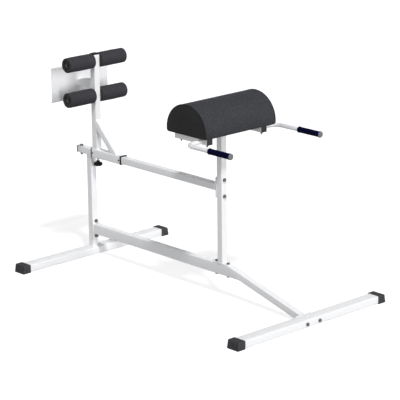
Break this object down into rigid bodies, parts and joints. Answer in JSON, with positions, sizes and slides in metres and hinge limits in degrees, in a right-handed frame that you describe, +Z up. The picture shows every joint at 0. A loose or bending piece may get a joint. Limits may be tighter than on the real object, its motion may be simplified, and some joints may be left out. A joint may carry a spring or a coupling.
{
  "type": "glute ham developer",
  "caption": "Free-standing glute ham bench with a half-moon hip pad, forward handles and a sliding foot carriage with foam rollers and a footplate.",
  "frame": {"origin": "on the floor under the middle of the whole machine", "axes": "+X forward from the footplate to the handles, +Y to the far side in the picture, +Z up; a name with left in it is on the -Y side, the left of someone who faces the machine from its handles"},
  "size_m": [1.9652, 1.1366, 1.236],
  "materials": {
    "powder_coat": "glossy white powder coat",
    "fastener": "dark zinc-plated steel",
    "axle": "plain steel bar",
    "rubber": "matt black rubber",
    "black_plastic": "satin black plastic",
    "hub_plastic": "dark brownish grey plastic",
    "roller_foam": "matt closed-cell foam",
    "vinyl": "fine grained black vinyl",
    "grip": "ribbed dark blue rubber",
    "grey_plastic": "satin grey plastic",
    "plywood": "bare plywood"
  },
  "bodies": {
    "frame": {"rear_base_tube": "powder_coat", "rear_base_cap_left": "rubber", "rear_base_cap_right": "rubber", "front_base_tube": "powder_coat", "front_base_cap_left": "rubber", "front_base_cap_right": "rubber", "rear_upright": "powder_coat", "top_rail": "powder_coat", "rail_end_cap": "black_plastic", "rail_end_bolt": "fastener", "lower_beam": "powder_coat", "front_leg": "powder_coat", "front_upright": "powder_coat", "rail_bolt_upper": "fastener", "rail_bolt_lower": "fastener", "beam_bolt_upper": "fastener", "beam_bolt_lower": "fastener", "foot_bolt_rear": "fastener", "foot_bolt_front": "fastener", "base_bolt_left": "fastener", "base_bolt_right": "fastener", "pad_bracket_frame": "powder_coat", "bracket_plug_rear_left": "grey_plastic", "bracket_plug_front_left": "grey_plastic", "bracket_plug_rear_right": "grey_plastic", "bracket_plug_front_right": "grey_plastic", "pad_bolt_rear_left": "fastener", "pad_bolt_front_left": "fastener", "pad_bolt_rear_right": "fastener", "pad_bolt_front_right": "fastener", "pad_board": "plywood", "hip_pad": "vinyl", "handle_bar_left": "powder_coat", "grip_left": "grip", "grip_plug_left": "grey_plastic", "handle_bar_right": "powder_coat", "grip_right": "grip", "grip_plug_right": "grey_plastic"},
    "carriage": {"carriage_sleeve": "powder_coat", "sleeve_collar_rear": "black_plastic", "sleeve_collar_front": "black_plastic", "mast": "powder_coat", "mast_cap": "black_plastic", "mast_brace": "powder_coat", "upper_axle": "axle", "upper_axle_nut": "fastener", "lower_axle": "axle", "lower_axle_nut": "fastener", "footplate": "powder_coat", "footplate_arm": "powder_coat"},
    "roller_upper_left": {"roller_foam_upper_left": "roller_foam", "roller_hub_upper_left": "hub_plastic"},
    "roller_upper_right": {"roller_foam_upper_right": "roller_foam", "roller_hub_upper_right": "hub_plastic"},
    "roller_lower_left": {"roller_foam_lower_left": "roller_foam", "roller_hub_lower_left": "hub_plastic"},
    "roller_lower_right": {"roller_foam_lower_right": "roller_foam", "roller_hub_lower_right": "hub_plastic"},
    "clamp": {"clamp_screw": "fastener", "star_knob": "black_plastic"}
  },
  "joints": [
    {"name": "carriage_slide", "type": "slide", "parent": "frame", "child": "carriage", "axis": [1, 0, 0], "range_m": [0, 0.6]},
    {"name": "roller_upper_left_turn", "type": "hinge", "parent": "carriage", "child": "roller_upper_left", "pos_m": [-0.8163, 0, 1.192], "axis": [0, 1, 0], "continuous": true},
    {"name": "roller_upper_right_turn", "type": "hinge", "parent": "carriage", "child": "roller_upper_right", "pos_m": [-0.8163, 0, 1.192], "axis": [0, 1, 0], "continuous": true},
    {"name": "roller_lower_left_turn", "type": "hinge", "parent": "carriage", "child": "roller_lower_left", "pos_m": [-0.8163, 0, 0.984], "axis": [0, 1, 0], "continuous": true},
    {"name": "roller_lower_right_turn", "type": "hinge", "parent": "carriage", "child": "roller_lower_right", "pos_m": [-0.8163, 0, 0.984], "axis": [0, 1, 0], "continuous": true},
    {"name": "clamp_turn", "type": "hinge", "parent": "carriage", "child": "clamp", "pos_m": [-0.8093, 0, 0.575], "axis": [0, 0, 1], "range_deg": [0, 720]}
  ]
}
